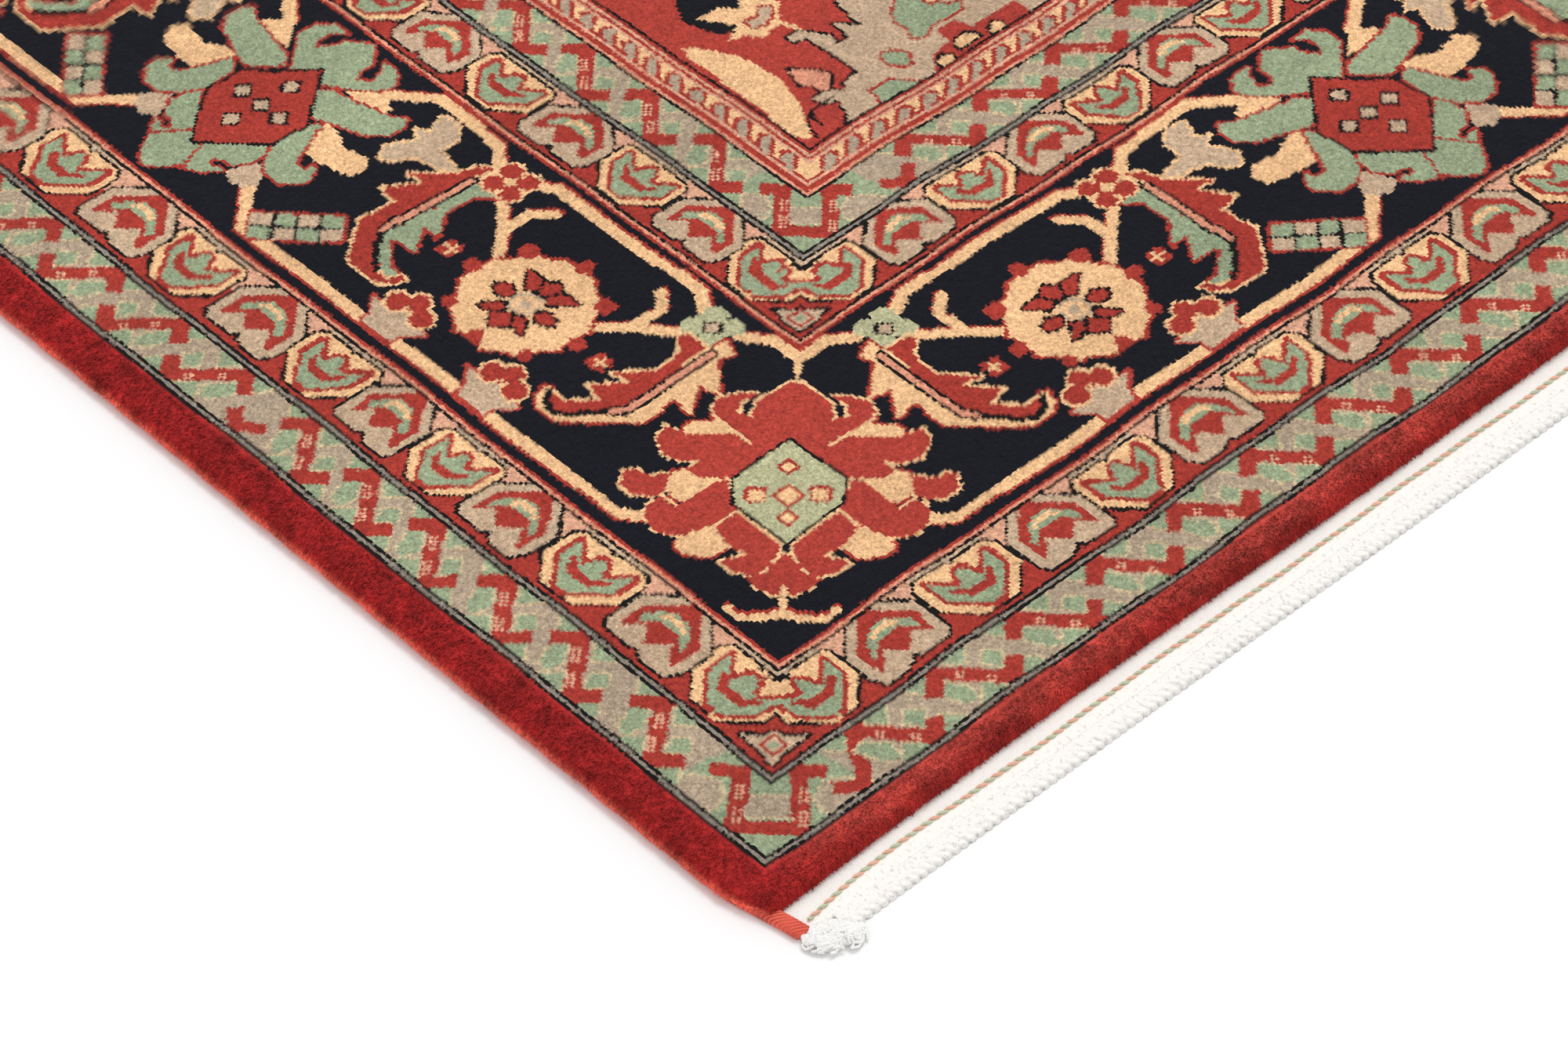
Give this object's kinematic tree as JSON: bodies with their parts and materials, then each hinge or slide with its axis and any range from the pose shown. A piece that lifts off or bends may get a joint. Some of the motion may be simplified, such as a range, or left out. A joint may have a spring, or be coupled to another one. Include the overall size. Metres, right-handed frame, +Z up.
{
  "type": "area rug",
  "caption": "Hand-knotted wool area rug with a red field, navy main border and patterned guard bands, overcast long sides and flat-woven cotton ends with braided edges.",
  "frame": {"origin": "middle of the underside, on the surface that the rug lies on", "axes": "+Z up through the pile, +Y along the length, +X across the width"},
  "size_m": [2.623, 3.7668, 0.012],
  "materials": {
    "wool_pile": "cut wool pile in madder red, navy, mint, taupe, cream and salmon",
    "wool_overcast": "red wool yarn wrapped closely round the edge cord",
    "cotton_weave": "undyed cotton, plain weave",
    "cotton_cord": "undyed cotton yarn, braided and knotted",
    "thread_salmon": "dyed cotton thread, salmon",
    "thread_green": "dyed cotton thread, pale green"
  },
  "bodies": {
    "root": {"corner_tassel_far_left": "cotton_cord", "corner_tassel_far_right": "cotton_cord", "corner_tassel_near_left": "cotton_cord", "corner_tassel_near_right": "cotton_cord", "end_braid_far": "cotton_cord", "end_braid_near": "cotton_cord", "foundation_web": "cotton_weave", "kilim_end_far": "cotton_weave", "kilim_end_near": "cotton_weave", "pile_comb_band_far": "wool_pile", "pile_comb_band_left": "wool_pile", "pile_comb_band_near": "wool_pile", "pile_comb_band_right": "wool_pile", "pile_field": "wool_pile", "pile_inner_guard_far": "wool_pile", "pile_inner_guard_left": "wool_pile", "pile_inner_guard_near": "wool_pile", "pile_inner_guard_right": "wool_pile", "pile_inner_latch_far": "wool_pile", "pile_inner_latch_left": "wool_pile", "pile_inner_latch_near": "wool_pile", "pile_inner_latch_right": "wool_pile", "pile_main_border_far": "wool_pile", "pile_main_border_left": "wool_pile", "pile_main_border_near": "wool_pile", "pile_main_border_right": "wool_pile", "pile_outer_band_far": "wool_pile", "pile_outer_band_left": "wool_pile", "pile_outer_band_near": "wool_pile", "pile_outer_band_right": "wool_pile", "pile_outer_guard_far": "wool_pile", "pile_outer_guard_left": "wool_pile", "pile_outer_guard_near": "wool_pile", "pile_outer_guard_right": "wool_pile", "pile_outer_latch_far": "wool_pile", "pile_outer_latch_left": "wool_pile", "pile_outer_latch_near": "wool_pile", "pile_outer_latch_right": "wool_pile", "selvedge_core_left": "cotton_cord", "selvedge_core_right": "cotton_cord", "selvedge_overcast_left": "wool_overcast", "selvedge_overcast_right": "wool_overcast", "twining_thread_green_far": "thread_green", "twining_thread_green_near": "thread_green", "twining_thread_salmon_far": "thread_salmon", "twining_thread_salmon_near": "thread_salmon"}
  },
  "joints": []
}
